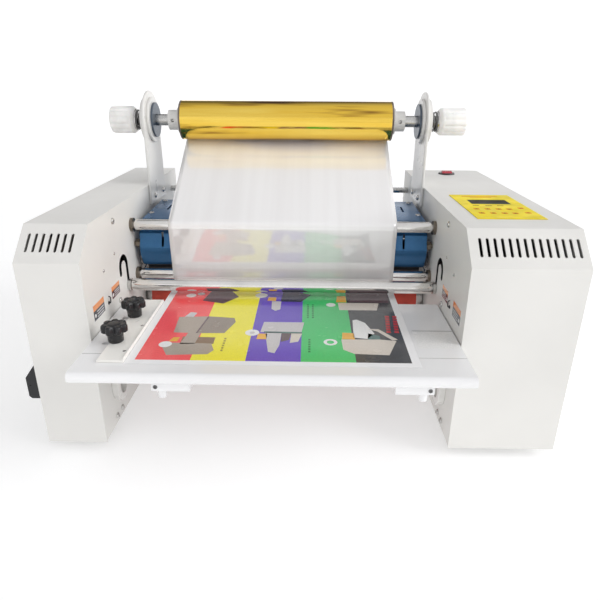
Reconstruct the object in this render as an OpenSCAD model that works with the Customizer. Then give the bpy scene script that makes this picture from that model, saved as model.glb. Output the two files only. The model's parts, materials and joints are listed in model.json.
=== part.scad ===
// Desktop hot foil stamper of the heated-roller kind.
// Working datum: X = 0 midway between the two housings, Y = 0 on their front faces, Z = 0 on their lower edges.
// at_datum() carries that datum to the model's origin, the bottom centre of its bounding box.

/* [Housings] */
// Clear width between the two inner walls
throat_w = 400; // [398:1:402]
// Front to back length of the housings
body_depth = 429; // [427:1:431]
// Height of the housings, without the feet
body_h = 254; // [252:1:256]
// Height of the upright front face below the sloping vent face
front_h = 221; // [219:1:223]
// Run of the sloping vent face, front to back
slope_run = 35.4; // [34:0.2:36]
// Width of the left housing
left_w = 69; // [68:1:74]
// Width of the right housing, which holds the drive
right_w = 122; // [120:1:126]
// Thickness of the folded sheet covers
sheet_t = 1.5; // [1.2:0.1:1.6]
// Thickness of the side plates
plate_t = 4; // [4:0.5:4.5]
// Height of the rubber feet
foot_h = 12; // [10:1:14]
// Number of vent slots on the right housing
right_vents = 14; // [10:1:14]
// Number of vent slots on the left housing
left_vents = 7; // [4:1:7]

/* [Foil supply] */
// Width of the foil roll
roll_w = 305; // [290:1:306]
// Radius of the full foil roll
roll_r = 27; // [22:1:27]
// Radius of the supply shaft
shaft_r = 8; // [8:0.5:8]
// Height of the supply shaft above the housings' lower edges
supply_z = 342; // [338:1:344]
// Distance of the supply shaft behind the front faces
supply_y = 302; // [300:1:304]
// Radius of the round head of each supply arm
arm_head_r = 40; // [40:1:42]
// Radius of the tension knobs
knob_r = 19; // [17:1:20]
// Thickness of the carrier film
film_t = 0.3; // [0.2:0.1:0.3]
// Half the width of the carrier film
film_half = 149; // [140:1:150]

/* [Rollers and bars] */
// Radius of the heated roller and of the silicone roller below it
roller_r = 28; // [28:1:28]
// Half the length of the two rollers
roller_half = 187; // [180:1:188]
// Distance of the nip behind the front faces
nip_y = 212; // [212:1:212]
// Height of the nip, where the sheet passes
nip_z = 134; // [134:1:134]
// Radius of the upper guide bar
upper_bar_r = 7.5; // [7:0.1:7.5]
// Radius of the middle guide bar
mid_bar_r = 7.2; // [7:0.1:7.3]
// Radius of the front hold-down bar
front_bar_r = 8; // [7.5:0.1:8]
// Lift of the front hold-down bar in its slot
front_bar_lift = 28; // [20:1:28]
// Radius of the exit pull rollers
pull_r = 16.5; // [16.5:0.5:16.5]
// Teeth on each roller gear
gear_teeth = 38; // [38:1:38]
// Teeth on the motor pinion
pinion_teeth = 19; // [19:1:19]
// Gear module
gear_module = 1.5; // [1.5:0.1:1.5]

/* [Feed tray] */
// Reach of the feed tray in front of the housings
tray_reach = 72; // [60:1:75]
// Thickness of the feed tray
tray_t = 12; // [10:1:12]
// Rear edge of the feed tray behind the front faces
tray_rear = 113; // [100:1:116]
// Length of the edge guide
guide_len = 160; // [140:1:160]
// Width of the edge guide
guide_w = 27; // [24:1:28]
// Sideways travel of the edge guide
guide_travel = 12; // [8:1:12]
// Width of the printed sheet
print_w = 297; // [290:1:297]
// Length of the printed sheet
print_len = 210; // [200:1:210]

/* [Hidden] */
$fn = 48;

// Clearances: round fits that turn, round fits that stay, and curved faces that only pass each other
run_gap = 0.05;
fixed_gap = 0.05;
pass_gap = 0.3;
eps = 0.01;

// Datum
half_throat = throat_w / 2;
handle_reach = 31;
inlet_proud = 3;
left_x = -half_throat - left_w;
right_x = half_throat + right_w;
mid_x = (left_x - handle_reach + right_x) / 2;
mid_y = (body_depth + inlet_proud - tray_reach) / 2;

// Housing details
slope_angle = atan2(body_h - front_h, slope_run);
slope_len = norm([slope_run, body_h - front_h]);
wrap_gap = 0.1;
vent_len = 23;
vent_w = 3.3;
vent_top = 12;
foot_r = 17;
foot_ys = [42, 388];
inside = half_throat + plate_t;

// Positions in the side view, as [y, z]
supply_at = [supply_y, supply_z];
upper_bar_at = [170, 219];
mid_bar_at = [174, 150];
front_bar_at = [136, 148];
nip_gap = 1;
heat_at = [nip_y, nip_z + nip_gap / 2 + roller_r];
lower_at = [nip_y, nip_z - nip_gap / 2 - roller_r];
pull_y = 375;
upper_pull_at = [pull_y, nip_z + nip_gap / 2 + pull_r];
lower_pull_at = [pull_y, nip_z - nip_gap / 2 - pull_r];
pivot_at = [290, 105];
cam_at = [45, 75];
cradle_at = [55, 47];
tie_at = [[250, 30], [385, 22], [392, 226]];
tie_r = [9, 9, 4.5];
arm_screw_at = [[281, 236], [326, 236]];
wall_screw_at = [[98, 141], [105, 240], [14, 96], [40, 10], [58, 10]];
small_screw_at = [[97, 202], [59, 193]];
small_screw = 0.5;
fan_z = 56;

// Round sizes
journal_r = 10;
bearing_r = 21;
bearing_w = 8;
small_journal_r = 4;
small_bearing_r = 11;
bush_r = 9;
bar_journal_r = 5;
bar_shaft_r = 3.9;
cam_bush_r = 11;
pivot_r = 6;
heater_r = 5;
heater_bore_r = 7;
sleeve_t = 8;
slot_r = 4;
slot_bend_r = 12;
core_r = 15;
core_bore_r = 12.7;
core_proud = 1;
chuck_flange_r = 18;
cap_r = 24;
flange_r = 31;
screw_r = 2.5;
screw_head_r = 3.9;
screw_head_h = 2.4;
screw_len = 8;

// Drive: centre distances, widths and the belt between the heated roller and the upper pull roller
gear_r = gear_module * gear_teeth / 2;
pinion_r = gear_module * pinion_teeth / 2;
gear_x = 217;
gear_w = 10;
gap_step = 360 / gear_teeth;
pinion_angle = 2.5 * gap_step;
pinion_at = heat_at + (gear_r + pinion_r) * [cos(pinion_angle), sin(pinion_angle)];
belt_scale = 0.75;
front_pulley_r = roller_r * belt_scale;
rear_pulley_r = pull_r * belt_scale;
belt_x = 209;
belt_w = 6;
belt_t = 1.6;

// Pressure cam and rocker arms
rocker_x = 207;
rocker_w = 6;
cam_r = 14;
cam_offset = 3.3;
cam_phase = 45;
rocker_under = cam_at[1] + cam_r + cam_offset * cos(cam_phase) + pass_gap;
rocker_h = 16;

// Tray
tray_half = half_throat - 1.5;
tray_top = nip_z;
guide_x = -176;
guide_y = -49;
guide_t = 3;
knob_x = -170;
knob_ys = [-6, 60];
stud_r = 3;
print_t = 0.5;
print_front = -50;

// ---- Helpers -------------------------------------------------------------------------------------

module at_datum() translate([-mid_x, -mid_y, foot_h]) children();

// Extrudes a side-view outline, drawn as [y, z], from x0 to x1
module along_x(x0, x1) translate([x0, 0, 0]) rotate([90, 0, 90]) linear_extrude(x1 - x0) children();

// Round bar along X from x0 to x1, centred on p = [y, z]
module rod_x(r, x0, x1, p) translate([x0, p[0], p[1]]) rotate([0, 90, 0]) cylinder(r = r, h = x1 - x0);

// Round tube along X
module tube_x(r, bore, x0, x1, p) difference() {
    rod_x(r, x0, x1, p);
    rod_x(bore, x0 - 1, x1 + 1, p);
}

// Both hands of a piece drawn for the right side
module both_sides() {
    children();
    mirror([1, 0, 0]) children();
}

// Box from one corner to the other
module block(lo, hi) translate(lo) cube(hi - lo);

// Hole in the side view, centred on p
module hole(r, p) translate(p) circle(r = r);

// Housing outline in the side view, drawn in by a margin all round
module housing_outline(margin) {
    front_in = margin * tan((90 - slope_angle) / 2);
    top_in = margin * tan(slope_angle / 2);
    polygon([
        [margin, margin],
        [margin, front_h - front_in],
        [slope_run + top_in, body_h - margin],
        [body_depth - margin, body_h - margin],
        [body_depth - margin, margin]
    ]);
}

// Slot that the front bar's ends ride in: up the long leg, over the bend and down into a parking hook
module lift_slot() {
    bend = [front_bar_at[0] - slot_bend_r, front_bar_at[1] + front_bar_lift];
    hole(slot_r, front_bar_at);
    translate([front_bar_at[0] - slot_r, front_bar_at[1]]) square([2 * slot_r, front_bar_lift]);
    translate([bend[0] - slot_bend_r - slot_r, bend[1] - slot_r - 1]) square([2 * slot_r, slot_r + 1]);
    hole(slot_r, bend - [slot_bend_r, slot_r + 1]);
    intersection() {
        difference() {
            hole(slot_bend_r + slot_r, bend);
            hole(slot_bend_r - slot_r, bend);
        }
        translate(bend - [slot_bend_r + slot_r, 0]) square([2 * (slot_bend_r + slot_r), slot_bend_r + slot_r]);
    }
}

// Button-head screw along -X at the origin, with its head's underside on x = 0
module button_screw() {
    rotate([0, -90, 0]) cylinder(r1 = screw_head_r, r2 = screw_head_r * 0.7, h = screw_head_h);
    rotate([0, 90, 0]) cylinder(r = screw_r, h = screw_len);
}

// ---- Housings and frame --------------------------------------------------------------------------

module side_plate_shape() {
    difference() {
        along_x(half_throat, inside) difference() {
            housing_outline(sheet_t + wrap_gap);
            hole(bearing_r + fixed_gap, heat_at);
            hole(journal_r + 4, lower_at);
            for (p = [upper_bar_at, mid_bar_at]) hole(bush_r + fixed_gap, p);
            for (p = [upper_pull_at, lower_pull_at]) hole(small_bearing_r + fixed_gap, p);
            hole(cam_bush_r + fixed_gap, cam_at);
            for (p = concat(arm_screw_at, wall_screw_at, tie_at)) hole(screw_r + 0.2, p);
            for (p = small_screw_at) hole(screw_r * small_screw + 0.1, p);
            lift_slot();
        }
    }
    // Welded pivot stud that carries the rocker arm
    rod_x(pivot_r, inside - 1, rocker_x + rocker_w + 4, pivot_at);
}

module left_side_plate() color("whitesmoke") at_datum() mirror([1, 0, 0]) side_plate_shape();

module right_side_plate() color("whitesmoke") at_datum() side_plate_shape();

// One vent slot, cut square to the sloping face, at x
module vent_cut(x) {
    mid = slope_len - vent_top - vent_len / 2;
    translate([x, 0, front_h]) rotate([slope_angle, 0, 0]) translate([0, mid, 0]) {
        cube([vent_w, vent_len - vent_w, 3 * sheet_t], center = true);
        for (s = [-1, 1]) {
            translate([0, s * (vent_len - vent_w) / 2, 0]) cylinder(d = vent_w, h = 3 * sheet_t, center = true);
        }
    }
}

// Folded cover, open towards the side plate and at the bottom, for a housing of width w on the right
module cover_shell(w) difference() {
    along_x(half_throat, half_throat + w) housing_outline(0);
    along_x(half_throat - 1, half_throat + w - sheet_t) {
        housing_outline(sheet_t);
        translate([sheet_t, -1]) square([body_depth - 2 * sheet_t, sheet_t + 2]);
    }
}

module left_cover() color("whitesmoke") at_datum() difference() {
    mirror([1, 0, 0]) cover_shell(left_w);
    for (i = [0 : left_vents - 1]) vent_cut(-half_throat - 13 - i * 7.7);
    rod_x(cam_bush_r, left_x - 1, left_x + 5, cam_at);
    for (p = cover_screw_at) rod_x(screw_r + 0.2, left_x - 1, left_x + 5, p);
}

cover_screw_at = [[20, 20], [20, 200], [409, 20], [409, 236]];
switch_at = [262, 391];
switch_r = 11;
display_at = [262.5, 165];
display_size = [46, 23];
inlet_at = [262, 60];
inlet_size = [28, 20];

module right_cover() color("whitesmoke") at_datum() difference() {
    cover_shell(right_w);
    for (i = [0 : right_vents - 1]) vent_cut(half_throat + 12 + i * 7.8);
    translate([switch_at[0], switch_at[1], body_h - 5]) cylinder(r = switch_r, h = 10);
    translate([display_at[0], display_at[1], body_h]) cube([display_size[0], display_size[1], 10], center = true);
    translate([inlet_at[0], body_depth, inlet_at[1]]) cube([inlet_size[0], 10, inlet_size[1]], center = true);
    for (p = cover_screw_at) rod_x(screw_r + 0.2, right_x - 5, right_x + 1, p);
}

base_t = 3;
edge_in = sheet_t + wrap_gap;

module base_plate(x0, x1) difference() {
    block([x0, edge_in, 0], [x1, body_depth - edge_in, base_t]);
    for (y = foot_ys) translate([(x0 + x1) / 2, y, -1]) cylinder(r = 4.2, h = base_t + 2);
}

module base_plates() color("gainsboro") at_datum() {
    base_plate(left_x + edge_in, -inside - wrap_gap);
    base_plate(inside + wrap_gap, right_x - edge_in);
}

module rubber_feet() color("dimgray") at_datum() {
    left_foot_x = (left_x + edge_in - inside - wrap_gap) / 2;
    right_foot_x = (right_x - edge_in + inside + wrap_gap) / 2;
    for (x = [left_foot_x, right_foot_x], y = foot_ys) {
        translate([x, y, -foot_h]) {
            cylinder(r1 = foot_r - 2, r2 = foot_r, h = foot_h);
            cylinder(r = 4, h = foot_h + base_t + 2);
        }
    }
}

module tie_bars() color("silver") at_datum() for (i = [0 : 2]) difference() {
    rod_x(tie_r[i], -half_throat, half_throat, tie_at[i]);
    both_sides() rod_x(screw_r + 0.2, half_throat - 12, half_throat + 1, tie_at[i]);
}

// ---- Heater hood ---------------------------------------------------------------------------------

hood_half = 192;
hood_t = 1.5;
hood_rear = 424;
hood_bottom = 161;
cheek_bottom = 186;
cheek_step_y = 232;
hood_line = [
    [171, 178], [170, 188], [175, 198], [175, 206], [183, 216], [195, 222],
    [298, 226], [hood_rear - 6, 190], [hood_rear, 184]
];

// Region under the hood's outer line, down to a height given
module hood_region(bottom) polygon(concat(
    [[180 + (hood_bottom - bottom) * 0.53, bottom]], hood_line, [[hood_rear, bottom]]
));

// Folded sheet, open below
module hood_section() difference() {
    hood_region(hood_bottom);
    offset(delta = -hood_t) hood_region(hood_bottom - 30);
}

module heater_hood() color("steelblue") at_datum() difference() {
    union() {
        along_x(-hood_half, hood_half) hood_section();
        both_sides() along_x(hood_half - hood_t, hood_half) difference() {
            hood_region(hood_bottom);
            hole(14, heat_at);
            translate([nip_y - 14, heat_at[1] - 14]) square([28, 14]);
            translate([cheek_step_y, hood_bottom - 1]) square([hood_rear, cheek_bottom - hood_bottom + 1]);
        }
    }
    // Ventilation slots near each end of the front face and of the top
    both_sides() {
        block([159.7, 165, 189], [162.3, 190, 208]);
        block([167.7, 239, 215], [170.3, 267, 240]);
    }
}

// ---- Supply arms and their fittings --------------------------------------------------------------

arm_t = 4;
arm_base_z = 226;
arm_front = supply_y - arm_head_r;
arm_back = supply_y + arm_head_r;

module supply_arms() color("whitesmoke") at_datum() both_sides() {
    along_x(half_throat - arm_t, half_throat) difference() {
        union() {
            hole(arm_head_r, supply_at);
            polygon([
                [arm_front + 3, supply_z], [arm_back - 3, supply_z],
                [arm_back, arm_base_z], [arm_front, arm_base_z]
            ]);
        }
        hole(cap_r / 2 + fixed_gap, supply_at);
        for (p = arm_screw_at) hole(screw_r + 0.2, p);
    }
}

// Bearing bush pressed into the arm, with a broad flange on the arm's inner face
module bearing_flanges() color("white") at_datum() both_sides() difference() {
    union() {
        rod_x(flange_r, half_throat - arm_t - 4, half_throat - arm_t, supply_at);
        rod_x(cap_r / 2, half_throat - arm_t, half_throat, supply_at);
    }
    rod_x(shaft_r + run_gap, half_throat - 20, half_throat + 1, supply_at);
}

module bearing_caps() color("slategray") at_datum() both_sides() {
    tube_x(cap_r, shaft_r + pass_gap, half_throat - arm_t - 7, half_throat - arm_t - 4, supply_at);
}

module shaft_bushes() color("tan") at_datum() both_sides() {
    for (p = [upper_bar_at, mid_bar_at]) tube_x(bush_r, bar_journal_r + run_gap, half_throat - 4, inside + 2, p);
    tube_x(cam_bush_r, shaft_r + run_gap, half_throat, inside + 2, cam_at);
}

module bearing(r, bore, x0, w, p) {
    tube_x(r, r * 0.8, x0, x0 + w, p);
    tube_x(bore * 1.28, bore + run_gap, x0, x0 + w, p);
    tube_x(r * 0.8, bore * 1.28, x0 + 1, x0 + w - 1, p);
}

module frame_bearings() color("silver") at_datum() both_sides() {
    bearing(bearing_r, journal_r, half_throat, bearing_w, heat_at);
    for (p = [upper_pull_at, lower_pull_at]) bearing(small_bearing_r, small_journal_r, half_throat, 6, p);
}

module lower_cradles() color("whitesmoke") at_datum() both_sides() along_x(half_throat - 8, half_throat) difference() {
    union() {
        hole(20, cradle_at);
        translate(cradle_at - [20, 0]) square([40, 14]);
    }
    hole(11, cradle_at);
    translate(cradle_at - [11, 0]) square([22, 20]);
}

// ---- Carrier film --------------------------------------------------------------------------------

function on_circle(c, r, a) = c + r * [cos(a), sin(a)];

// Angle at which the film leaves the roll's underside for the front of the upper bar
supply_vec = upper_bar_at - supply_at;
wrap_gap_r = pass_gap + film_t / 2;
leave_a = atan2(supply_vec[1], supply_vec[0]) + 360
    + acos((roll_r + upper_bar_r + 2 * wrap_gap_r) / norm(supply_vec));
meet_a = leave_a - 180;
// Angle at which it runs straight from the upper bar down to the middle bar
drop_vec = mid_bar_at - upper_bar_at;
drop_a = atan2(drop_vec[1], drop_vec[0]) - 90 + 360
    - asin((upper_bar_r - mid_bar_r) / norm(drop_vec));
// Angle at which it runs from the underside of the middle bar to the underside of the heated roller
heat_vec = heat_at - mid_bar_at;
nip_a = atan2(heat_vec[1], heat_vec[0]) + 360 - acos((mid_bar_r - roller_r) / norm(heat_vec));
wrap_steps = 8;

function arc_points(c, r, a0, a1) = [for (i = [0 : wrap_steps]) on_circle(c, r, a0 + (a1 - a0) * i / wrap_steps)];

film_path = concat(
    [on_circle(supply_at, roll_r + wrap_gap_r, leave_a)],
    arc_points(upper_bar_at, upper_bar_r + wrap_gap_r, meet_a, drop_a),
    arc_points(mid_bar_at, mid_bar_r + wrap_gap_r, drop_a, nip_a),
    arc_points(heat_at, roller_r + wrap_gap_r, nip_a, 270),
    [[pull_y + 14, heat_at[1] - roller_r - wrap_gap_r]]
);

function path_dir(p, i) =
    let (a = p[max(i - 1, 0)], b = p[min(i + 1, len(p) - 1)]) (b - a) / norm(b - a);
function side_points(p, d) = [for (i = [0 : len(p) - 1]) let (t = path_dir(p, i)) p[i] + d * [-t[1], t[0]]];
function turned(v) = [for (i = [len(v) - 1 : -1 : 0]) v[i]];

module film_web() color([0.92, 0.93, 0.96, 0.6]) at_datum() along_x(-film_half, film_half)
    polygon(concat(side_points(film_path, film_t / 2), turned(side_points(film_path, -film_t / 2))));

// ---- Supply shaft group --------------------------------------------------------------------------

cup_x = 217;
cup_t = 1.5;
disc_x = half_throat + pass_gap;
disc_t = 5.5;
spring_r = 13;
spring_wire = 2.2;

module supply_shaft() color("silver") at_datum() rod_x(shaft_r, -cup_x - 30, cup_x + 34, supply_at);

module core_chucks() color("whitesmoke") at_datum() both_sides() difference() {
    union() {
        rod_x(14, roll_w / 2 + 4, roll_w / 2 + 18, supply_at);
        rod_x(chuck_flange_r, roll_w / 2 + core_proud, roll_w / 2 + 4, supply_at);
        rod_x(core_bore_r - fixed_gap, roll_w / 2 - 12, roll_w / 2 + 2, supply_at);
    }
    rod_x(shaft_r + fixed_gap, roll_w / 2 - 20, roll_w / 2 + 20, supply_at);
    translate([roll_w / 2 + 11, supply_y, supply_z]) rotate([90, 0, 0]) cylinder(r = 2.5, h = 20);
}

module foil_core() color("dimgray") at_datum() {
    tube_x(core_r, core_bore_r, -roll_w / 2 - core_proud, roll_w / 2 + core_proud, supply_at);
}

module foil_roll() color("gold") at_datum() tube_x(roll_r, core_r + fixed_gap, -roll_w / 2, roll_w / 2, supply_at);

module friction_discs() color("white") at_datum() both_sides() {
    tube_x(30, shaft_r + fixed_gap, disc_x, disc_x + disc_t, supply_at);
}

// Coil spring as a swept tube along X from x0 to x1
module coil_spring(x0, x1, turns) {
    per_turn = 18;
    sides = 8;
    wire = spring_wire / 2;
    rings = turns * per_turn;
    pitch_len = (x1 - x0 - 2 * wire) / turns;
    pts = [
        for (i = [0 : rings], j = [0 : sides - 1])
        let (a = 360 * i / per_turn, b = 360 * j / sides, r = spring_r + wire * cos(b))
        [x0 + wire + pitch_len * i / per_turn + wire * sin(b), r * cos(a), r * sin(a)]
    ];
    walls = [
        for (i = [0 : rings - 1], j = [0 : sides - 1])
        let (k = (j + 1) % sides)
        [i * sides + j, i * sides + k, (i + 1) * sides + k, (i + 1) * sides + j]
    ];
    caps = [[for (j = [sides - 1 : -1 : 0]) j], [for (j = [0 : sides - 1]) rings * sides + j]];
    translate([0, supply_y, supply_z]) polyhedron(pts, concat(walls, caps));
}

module tension_springs() color("dimgray") at_datum() both_sides() coil_spring(disc_x + disc_t, cup_x, 3);

module left_spring_cup() color("silver") at_datum() {
    tube_x(15, shaft_r + run_gap, -cup_x - cup_t, -cup_x, supply_at);
}

module right_spring_cup() color("silver") at_datum() {
    tube_x(15, shaft_r + run_gap, cup_x, cup_x + cup_t, supply_at);
}

// Fluted knob drawn along +X from the origin
module fluted_knob(len) rotate([0, 90, 0]) difference() {
    union() {
        cylinder(r1 = knob_r - 3, r2 = knob_r, h = 4);
        translate([0, 0, 4]) cylinder(r = knob_r, h = len - 6);
        translate([0, 0, len - 2]) cylinder(r1 = knob_r, r2 = knob_r - 2, h = 2);
    }
    for (i = [0 : 11]) rotate([0, 0, 30 * i]) translate([knob_r + 0.6, 0, 8]) cylinder(r = 2, h = len);
    translate([0, 0, -1]) cylinder(r = shaft_r + run_gap, h = len - 3);
}

module left_tension_knob() color("white") at_datum() {
    translate([-cup_x - cup_t - pass_gap, supply_y, supply_z]) mirror([1, 0, 0]) fluted_knob(35);
}

module right_tension_knob() color("white") at_datum() {
    translate([cup_x + cup_t + pass_gap, supply_y, supply_z]) fluted_knob(39);
}

// ---- Guide bars ----------------------------------------------------------------------------------

module guide_bar(r, p) {
    rod_x(r, -half_throat + 7, half_throat - 7, p);
    rod_x(bar_journal_r, -inside - 1, inside + 1, p);
}

module upper_guide_bar() color("lightgray") at_datum() guide_bar(upper_bar_r, upper_bar_at);

module mid_guide_bar() color("lightgray") at_datum() guide_bar(mid_bar_r, mid_bar_at);

module front_bar_shaft() color("silver") at_datum() {
    rod_x(bar_shaft_r, -inside - 4, inside + 4, front_bar_at);
    both_sides() tube_x(8, bar_shaft_r - eps, half_throat - 4.5, half_throat - 0.5, front_bar_at);
}

module front_bar_sleeve() color("lightgray") at_datum() {
    tube_x(front_bar_r, bar_shaft_r + run_gap, -half_throat + 6, half_throat - 6, front_bar_at);
}

// ---- Heated roller, silicone roller and their drive ----------------------------------------------

// Involute flank: polar angle in degrees that the flank has turned through at radius r, for base radius rb
function involute(rb, r) = let (s = sqrt(max(0, pow(r / rb, 2) - 1))) s * 180 / PI - atan(s);

// Spur gear outline with its first tooth on the +X axis
module gear_outline(teeth) {
    pitch_r = gear_module * teeth / 2;
    base_r = pitch_r * cos(20);
    root_r = pitch_r - 1.3 * gear_module;
    tip_r = pitch_r + 0.9 * gear_module;
    start_r = max(base_r, root_r + 0.2);
    flank_steps = 3;
    half_tooth = 90 / teeth - 0.17 * 180 / PI / pitch_r + involute(base_r, pitch_r);
    radii = [for (i = [0 : flank_steps]) start_r + (tip_r - start_r) * i / flank_steps];
    polygon([
        for (t = [0 : teeth - 1]) let (mid = 360 * t / teeth) each concat(
            [root_r * [cos(mid - half_tooth - 0.4), sin(mid - half_tooth - 0.4)]],
            [for (r = radii) let (a = mid - half_tooth + involute(base_r, r)) r * [cos(a), sin(a)]],
            [for (r = turned(radii)) let (a = mid + half_tooth - involute(base_r, r)) r * [cos(a), sin(a)]],
            [root_r * [cos(mid + half_tooth + 0.4), sin(mid + half_tooth + 0.4)]]
        )
    ]);
}

// Gear in the side view at p, turned by an angle
module spur_gear(teeth, p, turn, bore) along_x(gear_x, gear_x + gear_w) translate(p) difference() {
    rotate(turn) gear_outline(teeth);
    circle(r = bore);
}

module heat_roller() color("dimgray") at_datum() difference() {
    union() {
        rod_x(roller_r, -roller_half, roller_half, heat_at);
        rod_x(journal_r, -inside - 8, gear_x + gear_w, heat_at);
    }
    rod_x(heater_bore_r, -300, 300, heat_at);
    rod_x(roller_r - 6, -roller_half + 8, roller_half - 8, heat_at);
}

module heater_tube() color("mistyrose") at_datum() {
    rod_x(heater_r, -inside - 14, gear_x + gear_w + 6, heat_at);
    for (x = [-inside - 20, gear_x + gear_w + 6]) rod_x(7, x, x + 6, heat_at);
}

module heat_roller_gear() color("gray") at_datum() {
    spur_gear(gear_teeth, heat_at, 0, journal_r + fixed_gap);
    tube_x(front_pulley_r, journal_r + fixed_gap, belt_x, belt_x + belt_w, heat_at);
    tube_x(14, journal_r + fixed_gap, belt_x + belt_w, gear_x, heat_at);
}

module lower_roller_core() color("silver") at_datum() {
    rod_x(roller_r - sleeve_t, -roller_half - 2, roller_half + 2, lower_at);
    rod_x(journal_r, -rocker_x - rocker_w - 1, gear_x + gear_w, lower_at);
}

module lower_roller_sleeve() color("firebrick") at_datum() {
    tube_x(roller_r, roller_r - sleeve_t + fixed_gap, -roller_half, roller_half, lower_at);
}

module lower_roller_gear() color("gray") at_datum() {
    spur_gear(gear_teeth, lower_at, gap_step / 2, journal_r + fixed_gap);
}

module motor_pinion() color("silver") at_datum() {
    spur_gear(pinion_teeth, pinion_at, pinion_angle + 180, 4 + fixed_gap);
    rod_x(4, gear_x - 2, gear_x + gear_w + 4, pinion_at);
}

// Gear motor behind its mounting plate, which stands off the side plate on four posts
motor_plate_x = 230;
motor_r = 30;

module drive_motor() color("darkslategray") at_datum() {
    posts = [[34, -14], [-26, 34], [34, 34]];
    difference() {
        along_x(motor_plate_x, motor_plate_x + 3) {
            translate(pinion_at - [38, 20]) square([80, 60]);
        }
        rod_x(12, motor_plate_x - 5, motor_plate_x + 8, pinion_at);
        rod_x(journal_r + 5, motor_plate_x - 5, motor_plate_x + 8, heat_at);
    }
    for (d = posts) rod_x(4, inside, motor_plate_x, pinion_at + d);
    difference() {
        rod_x(motor_r, motor_plate_x + 3, motor_plate_x + 72, pinion_at + [6, 6]);
        rod_x(12, motor_plate_x, motor_plate_x + 8, pinion_at);
    }
}

// Flat loop of belt round the two pulleys
module belt_loop(grow) {
    gap = upper_pull_at - heat_at;
    len = norm(gap);
    lean = asin((front_pulley_r - rear_pulley_r) / len);
    base = atan2(gap[1], gap[0]);
    hole(front_pulley_r + grow, heat_at);
    hole(rear_pulley_r + grow, upper_pull_at);
    polygon([
        on_circle(heat_at, front_pulley_r + grow, base + 90 - lean),
        on_circle(heat_at, front_pulley_r + grow, base - 90 + lean),
        on_circle(upper_pull_at, rear_pulley_r + grow, base - 90 + lean),
        on_circle(upper_pull_at, rear_pulley_r + grow, base + 90 - lean)
    ]);
}

module drive_belt() color("black") at_datum() along_x(belt_x + 0.3, belt_x + belt_w - 0.3) difference() {
    belt_loop(pass_gap + belt_t);
    belt_loop(pass_gap);
}

module upper_pull_roller() color("dimgray") at_datum() {
    rod_x(pull_r, -180, 180, upper_pull_at);
    rod_x(small_journal_r, -inside - 4, belt_x + belt_w, upper_pull_at);
    rod_x(rear_pulley_r, belt_x, belt_x + belt_w, upper_pull_at);
}

module lower_pull_roller() color("dimgray") at_datum() {
    rod_x(pull_r, -180, 180, lower_pull_at);
    rod_x(small_journal_r, -inside - 4, inside + 4, lower_pull_at);
}

// ---- Pressure cam --------------------------------------------------------------------------------

module rocker_arms() color("gray") at_datum() both_sides() along_x(rocker_x, rocker_x + rocker_w) difference() {
    union() {
        translate([cam_at[0] - 16, rocker_under]) square([pivot_at[0] - cam_at[0] + 16, rocker_h]);
        hole(24, lower_at);
        hole(14, pivot_at);
    }
    hole(journal_r + run_gap, lower_at);
    hole(pivot_r + run_gap, pivot_at);
}

module cam_shaft() color("silver") at_datum() {
    rod_x(shaft_r, left_x - 6, inside + rocker_w + 8, cam_at);
    both_sides() {
        translate([0, -cam_offset * sin(cam_phase), cam_offset * cos(cam_phase)]) {
            rod_x(cam_r, rocker_x, rocker_x + rocker_w, cam_at);
        }
    }
}

// Black lever on the left end of the cam shaft, with a grip standing out near its rear end
module pressure_handle() color("black") at_datum() difference() {
    hub_front = cam_at[0] - 37;
    hub_rear = cam_at[0] + 18;
    arm_end = cam_at[0] + 100;
    union() {
        translate([left_x - 1, hub_rear, cam_at[1]]) rotate([90, 0, 0]) linear_extrude(hub_rear - hub_front) polygon([
            [0, 25], [-2, 25], [-16, 6], [-16, -18], [-13, -21], [0, -21]
        ]);
        block([left_x - 12, hub_rear - 1, cam_at[1] - 9], [left_x - 4, arm_end, cam_at[1] + 9]);
        rod_x(9, left_x - 12, left_x - 4, [arm_end, cam_at[1]]);
        rod_x(8, left_x - handle_reach + 2, left_x - 11, [arm_end, cam_at[1]]);
        translate([left_x - handle_reach + 2, arm_end, cam_at[1]]) rotate([0, -90, 0]) cylinder(r1 = 8, r2 = 6, h = 2);
    }
    rod_x(shaft_r + fixed_gap, left_x - 6 - fixed_gap, left_x + 5, cam_at);
}

// ---- Rear panel and fan --------------------------------------------------------------------------

panel_t = 1.5;
panel_y = body_depth - 3;
fan_half = 40;
fan_depth = 25;
fan_bore = 37;

module rear_panel() color("whitesmoke") at_datum() difference() {
    block([-half_throat + 0.5, panel_y - panel_t, 6], [half_throat - 0.5, panel_y, 104]);
    for (s = [-3 : 3]) {
        w = sqrt(34 * 34 - pow(s * 9, 2));
        block([-w, panel_y - 5, fan_z + s * 9 - 2.5], [w, panel_y + 5, fan_z + s * 9 + 2.5]);
    }
}

module fan_frame() color("dimgray") at_datum() {
    front = panel_y - panel_t - fan_depth;
    difference() {
        block([-fan_half, front, fan_z - fan_half], [fan_half, front + fan_depth, fan_z + fan_half]);
        translate([0, front - 1, fan_z]) rotate([-90, 0, 0]) cylinder(r = fan_bore, h = fan_depth + 2);
    }
    translate([0, front, fan_z]) {
        for (a = [45 : 90 : 315]) rotate([0, a, 0]) translate([9, 0.5, -2]) cube([fan_bore - 7.5, 2, 4]);
        translate([0, 0.2, 0]) rotate([-90, 0, 0]) cylinder(r = 14, h = 2.8);
        translate([0, 1, 0]) rotate([-90, 0, 0]) cylinder(r = 2, h = 15);
    }
}

module fan_rotor() color("black") at_datum() {
    front = panel_y - panel_t - fan_depth;
    translate([0, front + 4, fan_z]) rotate([-90, 0, 0]) difference() {
        union() {
            cylinder(r = 16, h = 18);
            for (a = [0 : 360 / 7 : 359]) rotate([0, 0, a]) {
                translate([14, 0, 9]) rotate([35, 0, 0]) translate([0, -1, -8]) cube([20.5, 2, 16]);
            }
        }
        translate([0, 0, -1]) cylinder(r = 2 + run_gap, h = 14);
    }
}

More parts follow.
